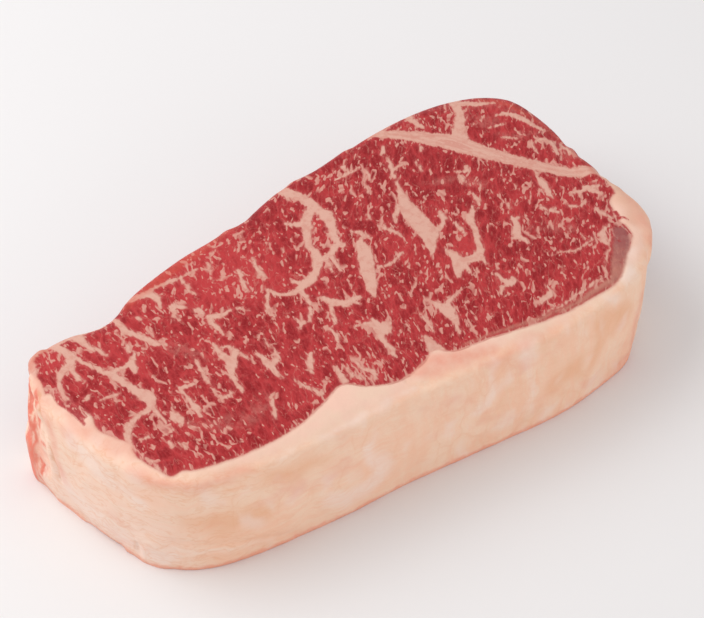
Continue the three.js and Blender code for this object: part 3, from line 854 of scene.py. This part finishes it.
def beef_pattern(graph):
    """Distance to fat with ragged edges, fine marbling and its web, and the fibres' tone, swell and grain."""
    grain = graph.field("grain", "Vector")
    bent = warped(graph, warped(graph, grain, 0.14, 2.6), 0.6, 0.4)
    small, large = graph.scaled(bent, SMALL_CELLS), graph.scaled(bent, LARGE_CELLS)
    small_gap, large_gap = graph.cells(small), graph.cells(large)
    bundle = graph.cells(small, "F1", "Color") * 0.4 + graph.cells(large, "F1", "Color") * 0.6
    lean = graph.field("lean")
    rich = graph.field("rich") + graph.ramp(lean, 2.0, 0.2) * 0.04
    cloud = graph.noise(grain, CLOUDS, 2)
    fade = graph.ramp(cloud, 0.3, 0.62) * 0.6 + 0.4
    fine = graph.math(
        "MAXIMUM",
        slivers(graph, bent, large_gap, LARGE_SLIVERS, 0.53, 0.68, rich, 0.24),
        slivers(graph, bent, small_gap, SMALL_SLIVERS, 0.61, 0.74, rich, 0.34) * fade,
    )
    ridge = abs(graph.noise(bent, (0.42, 0.2, 0.1), 2) - 0.5)
    web = graph.ramp(cloud + rich, 0.4, 0.6) * graph.ramp(ridge, 0.03, 0.0)
    swell = graph.ramp(small_gap, 0.0, 0.35) * 0.4 + graph.ramp(large_gap, 0.0, 0.3) * 0.6
    torn = 0.15 + 0.85 * graph.ramp(graph.field("cap"), *WHOLE_LEAN)
    edge = lean + (small_gap - 0.16) * torn * 1.3 + (graph.noise(bent, 1.6, 1) - 0.5) * 0.35
    return edge, fine, web, bundle * 0.5 + (1 - swell) * 0.5, swell, grain


def lean_colour(graph, look, edge, fine, web, tone, grain):
    """The reds of the lean with its fine marbling."""
    broad = graph.noise(grain, (0.14, 0.1, 0.05), 3, 0.6)
    fibre = graph.noise(grain, (2.0, 0.9, 0.6), 2, 0.6)
    bright = broad * 0.5 + tone * 0.55 + fibre * 0.25 + graph.field("tone") * 0.7
    ridge = abs(graph.noise(grain, (0.62, 0.4, 0.3), 2) - 0.5)
    cloud = graph.noise(grain, (0.4, 0.3, 0.3), 4, 0.7)
    return graph.coats(
        look.lean_dark,
        (graph.ramp(bright, 0.4, 0.95), look.lean_bright),
        (graph.ramp(ridge, 0.045, 0.0) * graph.ramp(fibre, 0.35, 0.6) * 0.4, look.lean_pale),
        (graph.field("veil") * graph.ramp(cloud, 0.36, 0.64) * 0.5, look.film),
        (graph.ramp(edge, 1.1, 0.1) * 0.5, look.lean_pale),
        (web * 0.35, look.vein_edge),
        (fine * 0.94, look.fleck),
    )


def vein_colour(graph, look, edge, place):
    """The fat of the veins and the seam, pinker at its edges and streaked along the seam."""
    cloud, patchy = graph.noise(place, 0.7, 4, 0.6), graph.noise(place, 0.45, 3, 0.6)
    seam = graph.field("seam")
    streak = graph.noise(place, (0.1, 0.1, 0.1), 3)
    streak = graph.noise(graph.joined(seam * 1.1, streak * 2.5, 0.0), 1, 3, 0.6)
    return graph.coats(
        look.vein_edge,
        (graph.ramp(edge - cloud * 0.9, 0.0, -1.1), look.vein),
        (graph.ramp(patchy, 0.46, 0.66) * 0.5, look.vein_edge),
        (graph.ramp(streak, 0.42, 0.62) * graph.ramp(seam, 0.4, -0.2) * 0.7, look.seam_streak),
    )


def cap_colour(graph, look, place):
    """The fat of the cap: pinkish cream above with a painted highlight along its top front edge, and lobed
    and wrinkled on its side. Gives the wrinkles too.
    """
    x, height = graph.part(place, 0), graph.part(place, 2)
    bent = warped(graph, place, 0.12, 6.0)
    mottle = graph.noise(place, (0.07, 0.07, 0.07), 4, 0.6)
    level = graph.noise(bent, (0.06, 0.06, 0.75), 4, 0.65)
    upward = graph.noise(bent, (0.42, 0.42, 0.05), 4, 0.6)
    streak = level + (upward - level) * graph.ramp(x, *STREAKS_TURN)
    warm = graph.field("warm")
    low = graph.ramp(height, *PALE_BELOW) * 0.3 + 0.3
    line = abs(graph.noise(bent, (0.1, 0.1, 0.5), 3, 0.6) - 0.5)
    wrinkle = graph.ramp(line, 0.045, 0.0) * (0.3 + 0.7 * graph.ramp(x, *WRINKLES))
    lobe = graph.cells(graph.scaled(bent, LOBES))
    lobed = graph.ramp(graph.noise(place, (0.05, 0.05, 0.08), 2), 0.42, 0.58)
    pink = graph.noise(place, (0.045, 0.045, 0.07), 3, 0.6)
    side = graph.coats(
        look.fat_peach,
        (graph.ramp(mottle * 0.5 + streak * 0.5, 0.38, 0.62), look.fat_cream),
        (graph.ramp(warm + streak * 0.6, 0.3, 1.3) * 0.8, look.fat_tan),
        # paler where the field is low: cream places and, near the top edge, the painted highlight
        (graph.ramp(warm - streak * 0.6, -0.4, -1.4) * 0.8, look.pale_fat_and_highlight),
        (graph.ramp(x, *PALE_END) * low, look.pale_fat_and_highlight),
        (wrinkle * 0.38, look.fat_tan),
        (graph.ramp(lobe, 0.06, 0.0) * lobed * 0.2, look.fat_tan),
        (graph.ramp(lobe, 0.1, 0.4) * lobed * 0.5, look.pale_fat_and_highlight),
        (graph.ramp(pink, 0.52, 0.74) * 0.35, look.blush),
    )
    top = graph.coats(
        look.rim_pink,
        (graph.ramp(mottle, 0.35, 0.65), look.rim_cream),
        (graph.ramp(warm + mottle * 0.6, 0.3, 0.9) * 0.8, look.rim_tan),
        # paler where the field is low: cream places and the painted highlight along the cap's top front edge
        (graph.ramp(warm - mottle * 0.6, -0.5, -1.1) * 0.8, look.pale_fat_and_highlight),
    )
    return graph.mix(graph.ramp(height, *CUT_FACE_ABOVE), side, top), wrinkle


def raw_beef(look):
    """Lean, fat and the membranes between them, as one finish that the fields share out."""
    graph = Graph("raw_beef")
    place = graph.scaled(graph.node("ShaderNodeTexCoord", {}, {}, "Object"), (1000, 1000, 1000))
    x, height = graph.part(place, 0), graph.part(place, 2)
    edge, fine, web, tone, swell, grain = beef_pattern(graph)
    fat = graph.ramp(edge, 0.34, -0.28)
    cap = graph.field("cap")
    capped = graph.ramp(cap, *CAP_FAT)
    cap_fat, wrinkle = cap_colour(graph, look, place)
    patchy = graph.noise(place, 0.35, 3)
    fatty = graph.coats(
        vein_colour(graph, look, edge, place),
        (capped, cap_fat),
        (graph.field("blush") * (patchy * 0.9 + 0.15), look.blush),
        (graph.ramp(height + (patchy - 0.5) * 3, *FOOT_LINE) * 0.65, look.foot),
    )
    line = graph.ramp(abs(cap + 0.35), 0.4, 0.05) * graph.ramp(patchy, 0.35, 0.6)
    line = line * graph.ramp(x, *MEMBRANE_STARTS) * graph.ramp(x, *MEMBRANE_ENDS)
    dark = graph.ramp(x + (patchy - 0.5) * 14, *DARK_SKIN_STARTS) * graph.ramp(x, *DARK_SKIN_ENDS)
    thin = graph.field("skin") * graph.ramp(graph.noise(place, 0.6, 3), 0.15, 0.45)
    flesh = graph.field("flesh") * graph.ramp(graph.noise(place, (0.5, 0.5, 0.2), 3), 0.34, 0.52)
    surface = graph.coats(
        lean_colour(graph, look, edge, fine, web, tone, grain),
        (fat, fatty),
        (graph.field("flush") * 0.4, look.flush),
        (line * 0.6, look.membrane),
        (thin * 0.9, graph.mix(dark, look.skin_pale, look.silverskin)),
        (flesh, look.side_flesh),
        # painted shade in the depths of the creases
        (graph.field("crease_shade") * 0.75, look.crease_shade),
    )
    relief = graph.noise(place, 0.9, 3) * 0.8 + graph.math("MAXIMUM", fat, swell) * 0.8
    relief = relief - wrinkle * capped * 0.18
    bump = graph.node("ShaderNodeBump", {}, {"Strength": 0.45, "Distance": 0.0003, "Height": relief})
    sockets = {"Base Color": surface, "Roughness": 0.4 + 0.12 * fat, "Normal": bump}
    return graph.finish({**sockets, "IOR": 1.4, "Specular IOR Level": look.sheen})


def plain_table(look):
    """The finish of the floor."""
    return Graph("plain_table").finish({"Base Color": colour(look.floor), "Roughness": look.floor_roughness})


def srgb(code):
    """The linear colour of a hexadecimal screen colour."""
    parts = [int(code[i : i + 2], 16) / 255 for i in (0, 2, 4)]
    return tuple(p / 12.92 if p <= 0.04045 else ((p + 0.055) / 1.055) ** 2.4 for p in parts)


def shade(name, text, default):
    """A setting that is a colour, given as linear numbers or as a hexadecimal screen colour."""
    default = srgb(default) if isinstance(default, str) else default
    return bpy.props.FloatVectorProperty(
        name=name, description=text, default=default, subtype="COLOR", size=3, min=0, max=1
    )


def amount(name, text, default, **kind):
    """A setting that is one number."""
    return bpy.props.FloatProperty(name=name, description=text, default=default, **kind)


def spot(name, text, default):
    """A setting that is a place."""
    return bpy.props.FloatVectorProperty(name=name, description=text, default=default, unit="LENGTH")


class SteakShape(bpy.types.PropertyGroup):
    fineness: amount("Fineness", "Spacing of the mesh", 0.62 * MM, unit="LENGTH")
    closing: amount("Closing", "How far the pieces swell before meshing", 0.25 * MM, unit="LENGTH")
    softening: bpy.props.IntProperty(
        name="Softening", description="Rounds of smoothing over the whole form", default=14
    )
    lumps: amount("Lumps", "Depth of the lumps in the fat", 0.5 * MM, unit="LENGTH")


class SteakLook(bpy.types.PropertyGroup):
    lean_dark: shade("Dark lean", "The deepest red of the lean", "8e171d")
    lean_bright: shade("Bright lean", "The lightest red of the lean", "bd3a3c")
    lean_pale: shade("Fibres", "The fibres that show in the lean", "bd5150")
    film: shade("Film", "The thin pale film on the lean", "c4736a")
    fleck: shade("Fine marbling", "The small flecks of fat in the lean", "d6998a")
    vein: shade("Veins", "The middle of the broad veins of fat", "dba998")
    vein_edge: shade("Vein edges", "The thin edges of the veins", "cf8b7c")
    seam_streak: shade("Seam streaks", "The pink streaks in the seam of fat", "cf8a7c")
    fat_cream: shade("Cream fat", "The paler fat on the side of the cap", "f4d1b8")
    fat_peach: shade("Peach fat", "The warmer fat on the side of the cap", "f4c5a9")
    fat_tan: shade("Tan fat", "The most orange fat of the cap", "eab08a")
    # the palest fat, which also serves as the painted highlight along the top front edge of the cap
    pale_fat_and_highlight: shade("Pale fat", "The palest fat of the cap", "f5dccf")
    rim_cream: shade("Cream rim", "The paler fat on top of the cap", "eccab4")
    rim_tan: shade("Tan rim", "The browner fat on top of the cap at the broad end", "e0ad95")
    rim_pink: shade("Pink rim", "The pinker fat on top of the cap", "efc5b2")
    blush: shade("Blush", "The pinkest fat", "e58f78")
    foot: shade("Foot", "The redder line along the foot of the fat", "ee9a80")
    flush: shade("Flush", "The orange red of the back edge", "cf5440")
    membrane: shade("Membrane", "The thin skin between the cap and the lean", "c07468")
    silverskin: shade("Silverskin", "The dark skin at the broad end", "9c5a57")
    skin_pale: shade("Pale skin", "The thinner skin along the cap", "c58373")
    side_flesh: shade("Side flesh", "The lean that shows on the side of the narrow end", "e47f6b")
    # painted shade for the depths of the creases in the fat
    crease_shade: shade("Crease", "The depths of the creases in the fat", "dfa381")
    sheen: amount("Sheen", "Strength of the reflections", 0.22, subtype="FACTOR", min=0, max=1)


class StageLook(bpy.types.PropertyGroup):
    floor: shade("Floor", "Colour of the floor", (0.835, 0.823, 0.826))
    floor_roughness: amount("Floor roughness", "Roughness of the floor", 0.6, subtype="FACTOR")
    floor_size: amount("Floor size", "Length of the floor's sides", 6.0, unit="LENGTH")
    daylight: amount("Daylight", "Strength of the light from all round", 0.68)
    sky: shade("Sky", "Colour of the light from all round", (1.0, 0.992, 0.998))
    key: amount("Key light", "Power of the broad light behind on the left", 4.4, unit="POWER")
    key_place: spot("Key place", "Where the key light hangs", (-0.42, 0.4, 0.6))
    key_colour: shade("Key colour", "Colour of the key light", (1.0, 0.985, 0.97))
    fill: amount("Fill light", "Power of the weak light in front", 2.5, unit="POWER")
    fill_place: spot("Fill place", "Where the fill light hangs", (0.35, -1.05, 0.22))
    fill_colour: shade("Fill colour", "Colour of the fill light", (1.0, 0.965, 0.93))
    lens: amount("Lens", "Focal length of the camera", 132.95, unit="CAMERA")
    distance: amount("Distance", "From the camera to what it looks at", 0.712, unit="LENGTH")
    azimuth: amount("Azimuth", "How far left of the front the camera is", -0.610865, unit="ROTATION")
    elevation: amount("Elevation", "How steeply the camera looks down", 0.733038, unit="ROTATION")
    aim: spot("Aim", "What the camera looks at", (0.00671, 0.00279, 0.0174))


class STEAK_OT_block(bpy.types.Operator):
    """Makes the whole form that the pieces are cut from"""

    bl_idname = "steak.block"
    bl_label = "Make the Whole Form"

    def execute(self, context):
        steak_block(context.scene.steak_shape)
        raw_beef(context.scene.steak_look)
        return {"FINISHED"}


class STEAK_OT_lean(bpy.types.Operator):
    """Cuts the two muscles out of the whole form"""

    bl_idname = "steak.lean"
    bl_label = "Cut the Lean"

    def execute(self, context):
        away = [("DIFFERENCE", region()) for region in (cap_region, seam_region, side_region)]
        make_piece("marbled_eye", "lean_eye", "lean", *away)
        make_piece("small_muscle", "side_muscle", "lean", ("INTERSECT", side_region()))
        return {"FINISHED"}


class STEAK_OT_fat(bpy.types.Operator):
    """Cuts the fat cap and the seam of fat out of the whole form"""

    bl_idname = "steak.fat"
    bl_label = "Cut the Fat"

    def execute(self, context):
        make_piece("cap_of_fat", "fat_cap", "fat", ("INTERSECT", cap_region()))
        make_piece("seam_of_fat", "fat_seam", "fat", ("INTERSECT", seam_region()))
        bpy.data.objects.remove(bpy.data.objects["block"])
        return {"FINISHED"}


class STEAK_OT_stage(bpy.types.Operator):
    """Lays the floor and sets the light and the camera"""

    bl_idname = "steak.stage"
    bl_label = "Set the Stage"

    def execute(self, context):
        look = context.scene.stage_look
        lay_floor(look)
        set_light(look)
        set_camera(look)
        return {"FINISHED"}


def lay_floor(look):
    """Lays a plain square floor under the steak."""
    form = bmesh.new()
    bmesh.ops.create_grid(form, x_segments=1, y_segments=1, size=look.floor_size / 2)
    floor = shaped("floor", form)
    floor.data.materials.append(plain_table(look))


def set_light(look):
    """Lights the steak from all round and with two lamps."""
    world = bpy.data.worlds.new("daylight")
    bpy.context.scene.world = world
    world.use_nodes = True
    sky = world.node_tree.nodes["Background"]
    sky.inputs["Color"].default_value = colour(look.sky)
    sky.inputs["Strength"].default_value = look.daylight
    add_lamp("window", look.key, look.key_place, look.key_colour)
    add_lamp("fill", look.fill, look.fill_place, look.fill_colour)
    bpy.context.scene.view_settings.view_transform = "Standard"


def add_lamp(name, power, place, tint):
    """A broad soft lamp that faces the steak."""
    lamp = bpy.data.lights.new(name, "AREA")
    lamp.shape = "RECTANGLE"
    lamp.size, lamp.size_y = LAMP_SIZE
    lamp.energy = power
    lamp.color = tint
    shape = linked(name, lamp)
    shape.visible_camera = False
    shape.location = place
    shape.rotation_mode = "QUATERNION"
    shape.rotation_quaternion = (-Vector(place)).to_track_quat("-Z", "Y")


def set_camera(look):
    """Points the camera at the steak."""
    data = bpy.data.cameras.new("camera")
    data.lens = look.lens
    data.sensor_width = SENSOR
    data.clip_start = 0.01
    camera = linked("camera", data)
    a, e = look.azimuth, look.elevation
    back = Vector((np.sin(a) * np.cos(e), -np.cos(a) * np.cos(e), np.sin(e)))
    camera.location = Vector(look.aim) + back * look.distance
    camera.rotation_mode = "QUATERNION"
    camera.rotation_quaternion = (-back).to_track_quat("-Z", "Y")
    bpy.context.scene.camera = camera


class STEAK_PT_panel(bpy.types.Panel):
    """Lists the steps and the sizes and colours"""

    bl_idname = "STEAK_PT_panel"
    bl_label = "Strip Steak"
    bl_space_type = "VIEW_3D"
    bl_region_type = "UI"
    bl_category = "Steak"

    def draw(self, context):
        for step in STEPS:
            self.layout.operator(step.bl_idname)
        for group in (context.scene.steak_shape, context.scene.steak_look, context.scene.stage_look):
            for key in group.__annotations__:
                self.layout.prop(group, key)


STEPS = (STEAK_OT_block, STEAK_OT_lean, STEAK_OT_fat, STEAK_OT_stage)
GROUPS = (SteakShape, SteakLook, StageLook)
CLASSES = (*GROUPS, *STEPS, STEAK_PT_panel)


def register():
    for cls in CLASSES:
        bpy.utils.register_class(cls)
    bpy.types.Scene.steak_shape = bpy.props.PointerProperty(type=SteakShape)
    bpy.types.Scene.steak_look = bpy.props.PointerProperty(type=SteakLook)
    bpy.types.Scene.stage_look = bpy.props.PointerProperty(type=StageLook)


def unregister():
    del bpy.types.Scene.stage_look
    del bpy.types.Scene.steak_look
    del bpy.types.Scene.steak_shape
    for cls in reversed(CLASSES):
        bpy.utils.unregister_class(cls)


def main():
    register()
    bpy.ops.steak.block()
    bpy.ops.steak.lean()
    bpy.ops.steak.fat()
    bpy.ops.steak.stage()


if __name__ == "__main__":
    main()
